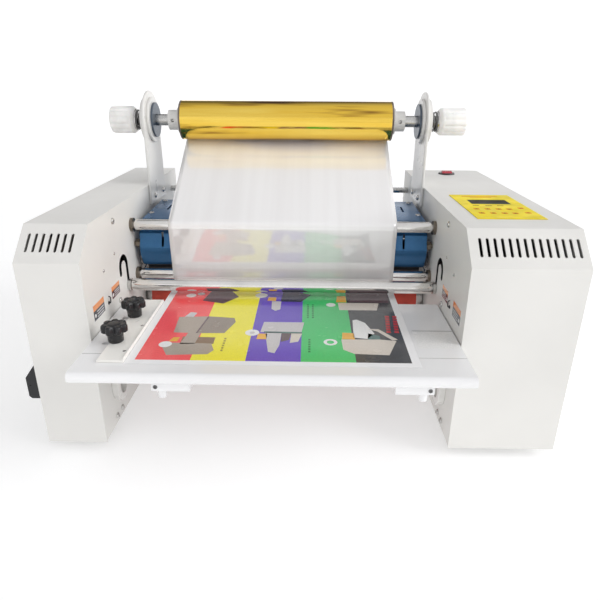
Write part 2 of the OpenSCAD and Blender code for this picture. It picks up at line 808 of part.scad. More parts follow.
// ---- Electrics and controls ----------------------------------------------------------------------

module control_board() color("darkgreen") at_datum() {
    z = body_h - 16;
    difference() {
        block([222, 74, z], [304, 200, z + 1.6]);
        for (x = [228, 298], y = [80, 194]) translate([x, y, z - 1]) cylinder(r = 1.8, h = 4);
    }
    block([237, 152, z + 1.6], [288, 178, z + 9]);
    for (x = [236 : 16 : 284]) block([x, 90, z + 1.6], [x + 9, 108, z + 5]);
    for (x = [228, 298], y = [80, 194]) translate([x, y, z + 1.6]) cylinder(r = 3, h = body_h - sheet_t - z - 1.6);
}

module power_supply() color("silver") at_datum() {
    block([-262, 240, base_t], [-220, 350, base_t + 98]);
}

panel_lo = [223, 75];
panel_hi = [301, 210];
membrane_t = 0.8;
window = [[238, 152], [287, 178]];

module keypad_panel() color("gold") at_datum() difference() {
    block([panel_lo[0], panel_lo[1], body_h], [panel_hi[0], panel_hi[1], body_h + membrane_t]);
    block([window[0][0], window[0][1], body_h - 1], [window[1][0], window[1][1], body_h + 2]);
}

module display_window() color("black") at_datum() {
    lo = display_at - display_size / 2 + [0.2, 0.2];
    hi = display_at + display_size / 2 - [0.2, 0.2];
    block([lo[0], lo[1], body_h - 6], [hi[0], hi[1], body_h]);
    block([window[0][0] + 0.1, window[0][1] + 0.1, body_h], [window[1][0] - 0.1, window[1][1] - 0.1, body_h + 0.6]);
}

module switch_bezel() color("black") at_datum() translate([switch_at[0], switch_at[1], 0]) difference() {
    union() {
        translate([0, 0, body_h]) cylinder(r1 = 13.5, r2 = 12.5, h = 2);
        translate([0, 0, body_h - 18]) cylinder(r = switch_r - 0.2, h = 19);
    }
    translate([-switch_wide - 0.3, -switch_half - 0.2, body_h - 15]) {
        cube([2 * switch_wide + 0.6, 2 * switch_half + 0.4, 25]);
    }
}

switch_pivot_z = body_h - 1;
switch_half = 6.3;
switch_wide = 8;
switch_tilt = 12;

// Rocker with two sloping faces, resting with its rear face pressed level
module rocker_switch() color("red") at_datum() along_x(switch_at[0] - switch_wide, switch_at[0] + switch_wide) {
    translate([switch_at[1], switch_pivot_z]) intersection() {
        circle(r = switch_half);
        rotate(switch_tilt) union() {
            rotate(switch_tilt) translate([0, -6]) square([switch_half, 11.5]);
            rotate(-switch_tilt) translate([-switch_half, -6]) square([switch_half, 11.5]);
            translate([-4, -6]) square([8, 9]);
        }
    }
}

module power_inlet() color("black") at_datum() translate([inlet_at[0], body_depth, inlet_at[1]]) difference() {
    union() {
        translate([-24, 0, -12]) cube([48, inlet_proud, 24]);
        translate([-13.5, -28, -9.5]) cube([27, 29, 19]);
    }
    difference() {
        translate([-11.5, -20, -7.5]) cube([23, 40, 15]);
        for (x = [-7, 0, 7]) translate([x - 1, -21, -3]) cube([2, 15, 6]);
    }
}

// ---- Feed tray -----------------------------------------------------------------------------------

module tray_ledges() color("lightgray") at_datum() both_sides() {
    z = tray_top - tray_t;
    block([half_throat - 12, 8, z - 2], [half_throat, 118, z]);
    block([half_throat - 2, 8, z - 16], [half_throat, 118, z - 2]);
}

module feed_tray() color("white") at_datum() {
    z = tray_top - tray_t;
    r = tray_t / 2;
    difference() {
        union() {
            block([-tray_half, -tray_reach + r, z], [tray_half, tray_rear, tray_top]);
            rod_x(r, -tray_half, tray_half, [-tray_reach + r, z + r]);
        }
        for (y = knob_ys) {
            block([knob_x - guide_travel, y - stud_r - 0.5, z - 1], [knob_x, y + stud_r + 0.5, tray_top + 1]);
            for (x = [knob_x - guide_travel, knob_x]) translate([x, y, z - 1]) cylinder(r = stud_r + 0.5, h = tray_t + 2);
        }
    }
    // Support blocks under the front edge, each with a locating pin
    for (x = [-99, 140]) {
        block([x - 19, -66, z - 9], [x + 19, -42, z]);
        translate([x + (x < 0 ? -12 : 11), -54, z - 22]) cylinder(r1 = 4, r2 = 5, h = 14);
    }
}

module edge_guide() color("oldlace") at_datum() {
    difference() {
        block([guide_x, guide_y, tray_top + 0.1], [guide_x + guide_w, guide_y + guide_len, tray_top + guide_t]);
        for (y = knob_ys) translate([knob_x, y, tray_top - 1]) cylinder(r = stud_r + run_gap, h = 6);
    }
    lip = [guide_x + guide_w - 1.5, guide_y + 4, tray_top + guide_t];
    block(lip, lip + [1.5, guide_len - 8, 1.5]);
}

// Star knob with its stud, standing on the edge guide at y
module star_knob(y) translate([knob_x, y, tray_top + guide_t + 0.1]) {
    cylinder(r1 = 7.5, r2 = 8.5, h = 13);
    difference() {
        translate([0, 0, 12]) cylinder(r = 15, h = 11);
        for (i = [0 : 6]) rotate([0, 0, i * 360 / 7]) translate([17.5, 0, 11]) cylinder(r = 4.6, h = 14);
    }
    translate([0, 0, -tray_t - guide_t - 8]) cylinder(r = stud_r, h = tray_t + guide_t + 9);
}

module front_star_knob() color("black") at_datum() star_knob(knob_ys[0]);

module rear_star_knob() color("black") at_datum() star_knob(knob_ys[1]);

module printed_sheet() color("tomato") at_datum() {
    block([-print_w / 2, print_front, tray_top + 0.05], [print_w / 2, print_front + print_len, tray_top + print_t]);
}

// ---- Fasteners -----------------------------------------------------------------------------------

module machine_screws() color("silver") at_datum() {
    both_sides() {
        for (p = wall_screw_at) translate([half_throat, p[0], p[1]]) button_screw();
        for (p = small_screw_at) translate([half_throat, p[0], p[1]]) scale(small_screw) button_screw();
        for (p = arm_screw_at) translate([half_throat - arm_t, p[0], p[1]]) button_screw();
        for (p = tie_at) translate([inside, p[0], p[1]]) mirror([1, 0, 0]) button_screw();
    }
    for (p = cover_screw_at) {
        translate([right_x, p[0], p[1]]) mirror([1, 0, 0]) button_screw();
        translate([left_x, p[0], p[1]]) button_screw();
    }
}

left_side_plate();
right_side_plate();
left_cover();
right_cover();
base_plates();
rubber_feet();
tie_bars();
heater_hood();
supply_arms();
bearing_flanges();
bearing_caps();
shaft_bushes();
frame_bearings();
heater_tube();
drive_motor();
drive_belt();
rear_panel();
fan_frame();
fan_rotor();
control_board();
power_supply();
keypad_panel();
display_window();
switch_bezel();
rocker_switch();
power_inlet();
film_web();
lower_cradles();
tray_ledges();
machine_screws();
supply_shaft();
core_chucks();
foil_core();
foil_roll();
friction_discs();
tension_springs();
left_spring_cup();
right_spring_cup();
left_tension_knob();
right_tension_knob();
upper_guide_bar();
mid_guide_bar();
front_bar_shaft();
front_bar_sleeve();
heat_roller();
heat_roller_gear();
lower_roller_core();
lower_roller_sleeve();
lower_roller_gear();
rocker_arms();
cam_shaft();
pressure_handle();
motor_pinion();
upper_pull_roller();
lower_pull_roller();
feed_tray();
edge_guide();
front_star_knob();
rear_star_knob();
printed_sheet();
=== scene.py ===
import json
import math

import bmesh
import bpy
from mathutils import Matrix, Vector
from mathutils import noise as smooth_noise


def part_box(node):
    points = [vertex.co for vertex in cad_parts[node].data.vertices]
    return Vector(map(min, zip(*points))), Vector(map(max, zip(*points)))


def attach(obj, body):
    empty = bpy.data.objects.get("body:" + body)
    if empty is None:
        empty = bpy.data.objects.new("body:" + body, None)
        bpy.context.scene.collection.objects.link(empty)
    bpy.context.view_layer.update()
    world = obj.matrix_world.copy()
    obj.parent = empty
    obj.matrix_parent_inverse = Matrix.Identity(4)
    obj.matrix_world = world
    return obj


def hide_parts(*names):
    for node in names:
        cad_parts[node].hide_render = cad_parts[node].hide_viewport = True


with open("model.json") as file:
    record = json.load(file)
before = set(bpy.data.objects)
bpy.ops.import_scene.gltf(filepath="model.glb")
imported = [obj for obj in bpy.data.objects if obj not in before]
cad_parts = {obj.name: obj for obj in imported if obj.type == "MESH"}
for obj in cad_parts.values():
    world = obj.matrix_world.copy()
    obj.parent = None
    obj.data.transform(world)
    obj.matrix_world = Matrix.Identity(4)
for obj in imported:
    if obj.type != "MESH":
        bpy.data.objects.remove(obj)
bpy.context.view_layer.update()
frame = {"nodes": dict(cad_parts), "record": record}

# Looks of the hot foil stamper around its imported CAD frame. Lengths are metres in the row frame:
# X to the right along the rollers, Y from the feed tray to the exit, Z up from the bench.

MM = 0.001
TURN = 2 * math.pi
# CAD points closer than this are one point
WELD = 0.002 * MM
NODES = frame["nodes"]
BODY_OF = {node: body for body, nodes in frame["record"]["behaviour"]["bodies"].items() for node in nodes}
SLOT_OF = {part["node"]: part["material_slot"] for part in frame["record"]["subparts"]}


# ---- Camera, light and stage ---------------------------------------------------------------------

def add_camera():
    """The photograph's view: from just above the foil roll, looking down into the throat."""
    place = (0.02382, -0.69391, 0.40765)
    pan, tilt, roll = (math.radians(angle) for angle in (0.95, -22.34, -0.35))
    data = bpy.data.cameras.new("camera")
    data.lens = 31.99
    data.sensor_width = 36
    data.clip_start = 0.01
    camera = bpy.data.objects.new("camera", data)
    camera.matrix_world = (
        Matrix.Translation(place)
        @ Matrix.Rotation(pan, 4, "Z")
        @ Matrix.Rotation(tilt, 4, "X")
        @ Matrix.Rotation(roll, 4, "Y")
        @ Matrix.Rotation(math.radians(90), 4, "X")
    )
    bpy.context.scene.collection.objects.link(camera)
    bpy.context.scene.camera = camera


def add_softbox(name, place, aim, size, power):
    """A white rectangular area light at a place, turned towards its aim."""
    data = bpy.data.lights.new(name, "AREA")
    data.shape = "RECTANGLE"
    data.size, data.size_y = size
    data.energy = power
    light = bpy.data.objects.new(name, data)
    light.location = place
    light.rotation_mode = "QUATERNION"
    light.rotation_quaternion = (Vector(aim) - Vector(place)).to_track_quat("-Z", "Y")
    bpy.context.scene.collection.objects.link(light)


def add_world():
    """Studio surroundings: bright towards the front right and above, dim behind and to the left."""
    brightest = Vector((0.5, -0.66, 0.56)).normalized()
    # Brightness by direction, from straight away from the brightest point (0) to straight at it (1)
    levels = ((0.0, 0.08), (0.45, 0.2), (0.72, 0.85), (1.0, 1.0))
    cool = 1.02
    world = bpy.data.worlds.new("studio")
    bpy.context.scene.world = world
    world.use_nodes = True
    tree = world.node_tree
    coords = tree.nodes.new("ShaderNodeTexCoord")
    facing = tree.nodes.new("ShaderNodeVectorMath")
    facing.operation = "DOT_PRODUCT"
    facing.inputs[1].default_value = brightest
    spread = tree.nodes.new("ShaderNodeMapRange")
    spread.inputs["From Min"].default_value = -1.0
    spread.inputs["From Max"].default_value = 1.0
    ramp = tree.nodes.new("ShaderNodeValToRGB")
    fill_ramp(ramp, [(at, (level, level, level * cool)) for at, level in levels])
    tree.links.new(coords.outputs["Generated"], facing.inputs[0])
    tree.links.new(facing.outputs["Value"], spread.inputs["Value"])
    tree.links.new(spread.outputs[0], ramp.inputs[0])
    background = tree.nodes["Background"]
    tree.links.new(ramp.outputs[0], background.inputs["Color"])
    background.inputs["Strength"].default_value = 0.86


def add_stage():
    """A pale round floor that sweeps up all round into a plain backdrop."""
    flat, bend, rise = 5.0, 1.0, 3.0
    steps, sides = 16, 96
    bends = [TURN / 4 * i / steps for i in range(1, steps + 1)]
    line = [(0, 0), (0.8, 0), (flat, 0)]
    line += [(flat + bend * math.sin(a), bend - bend * math.cos(a)) for a in bends]
    line.append((flat + bend, rise))
    bm = bmesh.new()
    rings(bm, line, sides, Matrix.Identity(4))
    finish = Finish("stage_white", (0.72, 0.72, 0.72), 0.9)
    finish.set("Emission Color", (1, 1, 1, 1))
    finish.set("Emission Strength", 0.4)
    mesh = bpy.data.meshes.new("floor")
    bm.to_mesh(mesh)
    bm.free()
    mesh.materials.append(finish.material)
    for face in mesh.polygons:
        face.use_smooth = True
    floor = bpy.data.objects.new("floor", mesh)
    bpy.context.scene.collection.objects.link(floor)


# ---- Materials -----------------------------------------------------------------------------------

def fill_ramp(ramp, stops):
    """Sets a colour ramp's stops from (position, (r, g, b)) pairs."""
    line = ramp.color_ramp
    while len(line.elements) < len(stops):
        line.elements.new(1.0)
    for element, (at, colour) in zip(line.elements, stops):
        element.position = at
        element.color = (*colour, 1)


def shade(colour, factor):
    """A colour made lighter or darker, held below full brightness."""
    return tuple(min(1.0, c * factor) for c in colour)


class Finish:
    """A procedural material: a Principled shader, and the node chains that vary it over the surface."""

    def __init__(self, name, colour, roughness, metallic=0.0, **sockets):
        self.material = bpy.data.materials.new(name)
        self.material.use_nodes = True
        self.tree = self.material.node_tree
        self.shader = self.tree.nodes["Principled BSDF"]
        self.set("Base Color", (*colour, 1))
        self.set("Roughness", roughness)
        self.set("Metallic", metallic)
        for socket, value in sockets.items():
            self.set(socket.replace("_", " "), value)
        self.coords = self.tree.nodes.new("ShaderNodeTexCoord").outputs["Object"]
        self.normal = None

    def set(self, socket, value):
        self.shader.inputs[socket].default_value = value

    def texture(self, kind, scale, stretch=(1, 1, 1), **values):
        """The value of a texture whose features are about 1/scale metres across, drawn out by stretch."""
        mapping = self.tree.nodes.new("ShaderNodeMapping")
        mapping.inputs["Scale"].default_value = stretch
        self.tree.links.new(self.coords, mapping.inputs["Vector"])
        node = self.tree.nodes.new("ShaderNodeTex" + kind)
        node.inputs["Scale"].default_value = scale
        for key, value in values.items():
            socket = node.inputs.get(key.replace("_", " "))
            if socket is None:
                setattr(node, key, value)
            else:
                socket.default_value = value
        self.tree.links.new(mapping.outputs[0], node.inputs["Vector"])
        return node.outputs[0]

    def noise(self, scale, stretch=(1, 1, 1), detail=2.0):
        return self.texture("Noise", scale, stretch, Detail=detail)

    def ramp(self, source, stops):
        node = self.tree.nodes.new("ShaderNodeValToRGB")
        fill_ramp(node, stops)
        self.tree.links.new(source, node.inputs[0])
        return node.outputs[0]

    def tint(self, source, low, high, start=0.35, end=0.65):
        """Base colour that runs from low to high as source goes from start to end."""
        self.tree.links.new(self.ramp(source, [(start, low), (end, high)]), self.shader.inputs["Base Color"])

    def gloss(self, source, low, high):
        """Roughness that runs from low to high over the middle of a noise source's range."""
        node = self.tree.nodes.new("ShaderNodeMapRange")
        node.inputs["From Min"].default_value = 0.3
        node.inputs["From Max"].default_value = 0.7
        node.inputs["To Min"].default_value = low
        node.inputs["To Max"].default_value = high
        self.tree.links.new(source, node.inputs["Value"])
        self.tree.links.new(node.outputs[0], self.shader.inputs["Roughness"])

    def emboss(self, source, depth):
        """Relief of the given depth, on top of any relief already there."""
        node = self.tree.nodes.new("ShaderNodeBump")
        node.inputs["Distance"].default_value = depth
        self.tree.links.new(source, node.inputs["Height"])
        if self.normal is not None:
            self.tree.links.new(self.normal, node.inputs["Normal"])
        self.normal = node.outputs[0]
        self.tree.links.new(self.normal, self.shader.inputs["Normal"])


def coated(name, colour, roughness, grain=1100, depth=0.016 * MM, **sockets):
    """Paint or enamel: a faint orange peel, slow tone drift and uneven gloss."""
    finish = Finish(name, colour, roughness, **sockets)
    finish.tint(finish.noise(7, detail=4), shade(colour, 0.965), shade(colour, 1.02))
    finish.gloss(finish.noise(30, detail=3), roughness - 0.05, roughness + 0.07)
    finish.emboss(finish.noise(grain, detail=1), depth)
    return finish.material


def moulded(name, colour, roughness, **sockets):
    """Moulded plastic: spark-eroded grain with soft polished patches."""
    finish = Finish(name, colour, roughness, **sockets)
    finish.tint(finish.noise(40, detail=3), shade(colour, 0.9), shade(colour, 1.12))
    finish.gloss(finish.noise(70, detail=4), roughness - 0.06, roughness + 0.08)
    finish.emboss(finish.texture("Voronoi", 2600), 0.012 * MM)
    return finish.material


def turned(name, colour, roughness, depth=0.004 * MM):
    """Metal turned or ground about an axis along X: fine grooves, and slow smears of oil."""
    finish = Finish(name, colour, roughness, metallic=1.0)
    grooves = finish.noise(900, (1, 0.02, 0.02), detail=3)
    smears = finish.noise(35, (0.5, 1, 1), detail=4)
    finish.tint(smears, shade(colour, 0.86), shade(colour, 1.06))
    finish.gloss(grooves, roughness - 0.05, roughness + 0.08)
    finish.emboss(grooves, depth)
    return finish.material


def rolled(name, colour, roughness):
    """Sheet metal with a rolled grain along Y and a dull spangle."""
    finish = Finish(name, colour, roughness, metallic=0.85)
    spangle = finish.texture("Voronoi", 130, Randomness=1.0)
    finish.tint(spangle, shade(colour, 0.9), shade(colour, 1.08), 0.1, 0.7)
    finish.gloss(finish.noise(1500, (1, 0.03, 1)), roughness - 0.08, roughness + 0.1)
    finish.emboss(finish.noise(1500, (1, 0.03, 1)), 0.004 * MM)
    return finish.material


def rubbery(name, colour, roughness):
    """Rubber: a dull face with a fine soft grain."""
    finish = Finish(name, colour, roughness, Specular_IOR_Level=0.35)
    finish.tint(finish.noise(60, detail=5), shade(colour, 0.82), shade(colour, 1.18))
    finish.emboss(finish.noise(1800, detail=3), 0.02 * MM)
    return finish.material


def hood_paint(name):
    """Metallic blue lacquer: fine flake under a clear coat."""
    finish = Finish(name, (0.028, 0.12, 0.27), 0.3, metallic=0.6, Coat_Weight=0.15, Coat_Roughness=0.12)
    finish.tint(finish.texture("Voronoi", 2600), (0.02, 0.10, 0.235), (0.045, 0.165, 0.35), 0.1, 0.8)
    finish.gloss(finish.noise(18, detail=3), 0.25, 0.36)
    finish.emboss(finish.noise(260, detail=2), 0.01 * MM)
    return finish.material


def mirror_foil(name):
    """Gold stamping foil: a mirror with fine winding streaks that run round the roll, and broader dark
    streaks in its base colour that are painted reflections.
    """
    finish = Finish(name, (0.86, 0.58, 0.09), 0.1, metallic=1.0)
    fine = finish.noise(420, (0.03, 1, 1), detail=3)
    reflection_streaks = finish.noise(62, (0.08, 1, 1), detail=3)
    # The darkest stop is painted reflection of dark surroundings; the gold and light gold stops are the
    # foil's own tone
    painted_reflection_gold, gold, light_gold = (0.26, 0.125, 0.03), (0.85, 0.56, 0.075), (0.95, 0.69, 0.14)
    tones = finish.ramp(reflection_streaks, [(0.33, painted_reflection_gold), (0.42, gold), (0.7, light_gold)])
    finish.tree.links.new(tones, finish.shader.inputs["Base Color"])
    finish.gloss(fine, 0.05, 0.14)
    finish.emboss(fine, 0.004 * MM)
    finish.emboss(finish.noise(22, (0.15, 1, 1), detail=2), 0.12 * MM)
    return finish.material


def milky_film(name):
    """Carrier film: milky white under a glossy face, with faint lengthwise lines and small crinkles."""
    finish = Finish(name, (0.92, 0.905, 0.90), 0.05, IOR=2.9)
    finish.set("Alpha", 0.97)
    lines = finish.noise(60, (1, 0.04, 0.04), detail=4)
    finish.tint(lines, (0.90, 0.885, 0.88), (0.94, 0.93, 0.925))
    finish.gloss(finish.noise(12, detail=3), 0.03, 0.07)
    finish.emboss(lines, 0.02 * MM)
    finish.emboss(finish.noise(90, (1, 1, 0.5), detail=3), 0.06 * MM)
    return finish.material


def ink(name, colour):
    """Printed ink on coated paper: a faint halftone mottle under gloss."""
    roughness = 0.22
    finish = Finish(name, colour, roughness, Coat_Weight=0.35, Coat_Roughness=0.1)
    finish.tint(finish.noise(900, detail=2), shade(colour, 0.93), shade(colour, 1.05))
    finish.gloss(finish.noise(45, detail=3), roughness - 0.06, roughness + 0.06)
    finish.emboss(finish.noise(1300, detail=3), 0.006 * MM)
    return finish.material


def matte_ink(name, colour):
    """Print under a membrane keypad's matt face."""
    finish = Finish(name, colour, 0.6, Specular_IOR_Level=0.15)
    finish.tint(finish.noise(700, detail=2), shade(colour, 0.9), shade(colour, 1.08))
    finish.emboss(finish.noise(1300, detail=2), 0.006 * MM)
    return finish.material


def red_lens(name):
    """The rocker switch's translucent red plastic."""
    finish = Finish(name, (0.60, 0.015, 0.04), 0.16, Coat_Weight=1.0, Coat_Roughness=0.04)
    finish.set("Transmission Weight", 0.25)
    finish.tint(finish.noise(120, detail=2), (0.50, 0.01, 0.03), (0.72, 0.03, 0.06))
    finish.emboss(finish.noise(500, detail=1), 0.006 * MM)
    return finish.material


def frosted_quartz(name):
    """The heater tube's frosted glass."""
    finish = Finish(name, (0.95, 0.93, 0.9), 0.3)
    finish.set("Transmission Weight", 0.7)
    finish.tint(finish.noise(80, detail=3), (0.88, 0.86, 0.82), (0.97, 0.95, 0.93))
    finish.emboss(finish.noise(1500, detail=2), 0.01 * MM)
    return finish.material


def circuit_board(name):
    """Green solder resist over a maze of copper tracks."""
    finish = Finish(name, (0.015, 0.16, 0.07), 0.3, Coat_Weight=0.4)
    tracks = finish.texture("Brick", 160, Mortar_Size=0.012, offset=0.37)
    finish.tint(tracks, (0.02, 0.22, 0.10), (0.01, 0.13, 0.055), 0.0, 1.0)
    finish.emboss(finish.noise(900, detail=2), 0.01 * MM)
    return finish.material


def wound_paper(name):
    """The dark layered board of the foil core, and the foil roll's ends."""
    finish = Finish(name, (0.14, 0.11, 0.09), 0.75)
    finish.tint(finish.noise(300, (1, 0.2, 0.2), detail=4), (0.10, 0.08, 0.065), (0.19, 0.155, 0.125))
    finish.emboss(finish.noise(1200, detail=3), 0.03 * MM)
    return finish.material


FINISHES = {
    "powder_white": lambda n: coated(n, (0.765, 0.755, 0.725), 0.42),
    "galvanised": lambda n: rolled(n, (0.58, 0.575, 0.55), 0.42),
    "hood_blue": hood_paint,
    "rubber_dark": lambda n: rubbery(n, (0.035, 0.035, 0.036), 0.75),
    "steel": lambda n: turned(n, (0.60, 0.595, 0.58), 0.24),
    "steel_bar": lambda n: turned(n, (0.80, 0.785, 0.76), 0.12, depth=0.002 * MM),
    "white_cast": lambda n: coated(n, (0.77, 0.76, 0.735), 0.3, grain=420, Coat_Weight=0.25),
    "cap_grey": lambda n: coated(n, (0.10, 0.125, 0.16), 0.32, grain=700, Metallic=0.5),
    "bronze": lambda n: turned(n, (0.22, 0.19, 0.155), 0.36),
    "bearing_steel": lambda n: turned(n, (0.66, 0.66, 0.66), 0.2),
    "quartz": frosted_quartz,
    "motor_dark": lambda n: coated(n, (0.035, 0.037, 0.04), 0.4),
    "belt_black": lambda n: rubbery(n, (0.02, 0.02, 0.02), 0.65),
    "fan_black": lambda n: moulded(n, (0.022, 0.022, 0.024), 0.45),
    "pcb_green": circuit_board,
    "psu_alu": lambda n: rolled(n, (0.72, 0.725, 0.73), 0.35),
    "keypad_yellow": lambda n: moulded(n, (0.90, 0.72, 0.004), 0.5, Specular_IOR_Level=0.2),
    "display_black": lambda n: moulded(n, (0.012, 0.012, 0.008), 0.5, Specular_IOR_Level=0.1),
    "black_plastic": lambda n: moulded(n, (0.016, 0.016, 0.018), 0.3, Specular_IOR_Level=0.4),
    "switch_red": red_lens,
    "film_clear": milky_film,
    "core_dark": wound_paper,
    "foil_gold": mirror_foil,
    "knob_white": lambda n: moulded(n, (0.86, 0.85, 0.83), 0.32, Subsurface_Weight=0.05),
    "spring_steel": lambda n: turned(n, (0.17, 0.17, 0.17), 0.3),
    "roller_dark": lambda n: turned(n, (0.12, 0.12, 0.125), 0.35),
    "gear_steel": lambda n: turned(n, (0.35, 0.35, 0.345), 0.32),
    "silicone_red": lambda n: rubbery(n, (0.46, 0.055, 0.035), 0.55),
    "tray_white": lambda n: coated(
        n, (0.86, 0.86, 0.865), 0.2, grain=500, Coat_Weight=0.4, Coat_Roughness=0.12,
    ),
    "guide_cream": lambda n: coated(n, (0.95, 0.935, 0.89), 0.3, Coat_Weight=0.3),
    "key_orange": lambda n: matte_ink(n, (0.80, 0.30, 0.0)),
    "key_red": lambda n: matte_ink(n, (0.45, 0.03, 0.01)),
    "key_brown": lambda n: matte_ink(n, (0.13, 0.05, 0.005)),
    "print_paper": lambda n: coated(n, (0.90, 0.90, 0.905), 0.45, grain=2200, depth=0.004 * MM),
}
MATERIALS = {}
INKS = {
    "red": (0.96, 0.105, 0.11), "yellow": (0.93, 0.85, 0.06), "violet": (0.15, 0.085, 0.56),
    "green": (0.065, 0.60, 0.18), "charcoal": (0.065, 0.068, 0.075), "taupe": (0.42, 0.36, 0.30),
    "taupe_shade": (0.30, 0.255, 0.215), "brown": (0.24, 0.15, 0.085), "pale_grey": (0.62, 0.60, 0.61),
    "pale_warm": (0.70, 0.64, 0.57), "plum": (0.13, 0.085, 0.10), "slate": (0.055, 0.055, 0.10),
    "teal": (0.10, 0.19, 0.18), "amber": (0.86, 0.46, 0.07), "olive": (0.33, 0.29, 0.03),
    "fern": (0.02, 0.22, 0.07), "label_orange": (0.83, 0.30, 0.10), "label_dark": (0.06, 0.065, 0.075),
    "label_white": (0.86, 0.86, 0.85), "text_red": (0.60, 0.045, 0.05), "seam_grey": (0.30, 0.30, 0.29),
}


def material(slot):
    """The material of a slot or an ink, made the first time that it is asked for."""
    if slot not in MATERIALS:
        MATERIALS[slot] = FINISHES[slot](slot) if slot in FINISHES else ink("ink_" + slot, INKS[slot])
    return MATERIALS[slot]


# ---- Mesh tools ----------------------------------------------------------------------------------

def middle(node):
    """The centre of a node's box."""
    low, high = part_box(node)
    return (low + high) / 2


def radius_of(node):
    """Radius of a round node whose axis lies along X."""
    low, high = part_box(node)
    return (high.z - low.z) / 2


def make_piece(name, bm, slots, body, smooth=30.0, weighted=False):
    """Turns a bmesh into a piece that rides on a body; slots name its materials in face-index order."""
    bmesh.ops.recalc_face_normals(bm, faces=bm.faces)
    mesh = bpy.data.meshes.new(name)
    bm.to_mesh(mesh)
    bm.free()
    for slot in slots:
        mesh.materials.append(material(slot))
    mesh.polygons.foreach_set("use_smooth", [True] * len(mesh.polygons))
    mesh.set_sharp_from_angle(angle=math.radians(smooth))
    piece = bpy.data.objects.new(name, mesh)
    bpy.context.scene.collection.objects.link(piece)
    if weighted:
        piece.modifiers.new("weighted", "WEIGHTED_NORMAL").keep_sharp = True
    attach(piece, body)
    return piece


def soften(node, width, shortest):
    """A copy of a CAD node with its sharp edges longer than shortest rounded to the given width."""
    flat, keen = math.radians(0.5), math.radians(28)
    bm = bmesh.new()
    bm.from_mesh(NODES[node].data)
    bmesh.ops.remove_doubles(bm, verts=bm.verts, dist=WELD)
    bmesh.ops.dissolve_limit(bm, angle_limit=flat, verts=bm.verts, edges=bm.edges)
    sharp = [
        e for e in bm.edges
        if len(e.link_faces) == 2 and e.calc_length() > shortest and e.calc_face_angle() > keen
    ]
    bmesh.ops.bevel(
        bm, geom=sharp, offset=width, offset_type="OFFSET", segments=3, profile=0.5,
        affect="EDGES", clamp_overlap=True,
    )
    slots = [SLOT_OF[node]]
    # On the side plates the hooked slot's walls take black plastic as a second material: painted shade in the
    # slot
    if node in ("left_side_plate", "right_side_plate"):
        shade_lift_slot(bm)
        slots.append("black_plastic")
    piece = make_piece(node + "_finished", bm, slots, BODY_OF[node], smooth=40, weighted=True)
    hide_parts(node)


def shade_lift_slot(bm):
    """Paints the walls of the hold-down bar's hooked slot black, the mesh's second material, as painted shade
    in the slot.
    """
    bar = middle("front_bar_shaft")
    low, high = bar + Vector((0, -30, -6)) * MM, bar + Vector((0, 6, 46)) * MM
    plate_face = 0.8
    for face in bm.faces:
        at = face.calc_center_median()
        in_slot = low.y < at.y < high.y and low.z < at.z < high.z
        if in_slot and abs(face.normal.x) < plate_face:
            face.material_index = 1


def rings(bm, profile, segments, to_place, shape=None, closed=False):
    """Surface of revolution about the local Z axis, from (radius, height) pairs. A ring's radius may be
    shaped by angle, and a zero radius closes it to a point. closed joins the last ring to the first."""
    made = []
    for i, (radius, height) in enumerate(profile):
        if radius == 0:
            made.append([bm.verts.new(to_place @ Vector((0, 0, height)))])
            continue
        loop = []
        for k in range(segments):
            a = TURN * k / segments
            r = shape(i, a, radius, height) if shape else radius
            loop.append(bm.verts.new(to_place @ Vector((r * math.cos(a), r * math.sin(a), height))))
        made.append(loop)
    pairs = list(zip(made, made[1:])) + ([(made[-1], made[0])] if closed else [])
    for low, high in pairs:
        for k in range(segments):
            j = k + 1
            corners = [low[k % len(low)], low[j % len(low)], high[j % len(high)], high[k % len(high)]]
            bm.faces.new(list(dict.fromkeys(corners)))


def sweep(bm, path, radius, sides=10):
    """Round wire along a path, with closed ends."""
    around = [TURN * k / sides for k in range(sides)]
    loops = []
    across = None
    for i, point in enumerate(path):
        ahead = (path[min(i + 1, len(path) - 1)] - path[max(i - 1, 0)]).normalized()
        if across is None:
            across = ahead.orthogonal()
        across = (across - ahead * across.dot(ahead)).normalized()
        up = ahead.cross(across)
        loops.append([
            bm.verts.new(point + radius * (across * math.cos(a) + up * math.sin(a))) for a in around
        ])
    for low, high in zip(loops, loops[1:]):
        for k in range(sides):
            j = (k + 1) % sides
            bm.faces.new((low[k], low[j], high[j], high[k]))
    bm.faces.new(loops[0][::-1])
    bm.faces.new(loops[-1])


def prism(bm, outline, rise, index=0):
    """Closed thin solid over an outline of points, raised by a vector."""
    low = [bm.verts.new(p) for p in outline]
    high = [bm.verts.new(p + rise) for p in outline]
    bm.faces.new(low[::-1]).material_index = index
    bm.faces.new(high).material_index = index
    for k in range(len(low)):
        j = (k + 1) % len(low)
        bm.faces.new((low[k], low[j], high[j], high[k])).material_index = index


def rectangle(u0, v0, u1, v1):
    """The outline of a rectangle between two corners."""
    return [(u0, v0), (u1, v0), (u1, v1), (u0, v1)]


def disc(u, v, r):
    """The outline of a round patch."""
    sides = 20
    return [(u + r * math.cos(TURN * k / sides), v + r * math.sin(TURN * k / sides)) for k in range(sides)]


def printed(name, patches, plane, body, layer=0.03 * MM):
    """Thin printed patches on a plane. Each patch is (ink, layer number, outline in the plane's u and v)."""
    slots = sorted({patch[0] for patch in patches})
    bm = bmesh.new()
    for slot, level, outline in patches:
        base = [plane(u, v, (level - 1) * layer) for u, v in outline]
        rise = plane(*outline[0], level * layer) - base[0]
        prism(bm, base, rise, slots.index(slot))
    return make_piece(name, bm, slots, body)


def along_x(centre):
    """Places a local Z axis along +X through a point."""
    return Matrix.Translation(centre) @ Matrix.Rotation(TURN / 4, 4, "Y")


# ---- Foil roll and carrier film ------------------------------------------------------------------

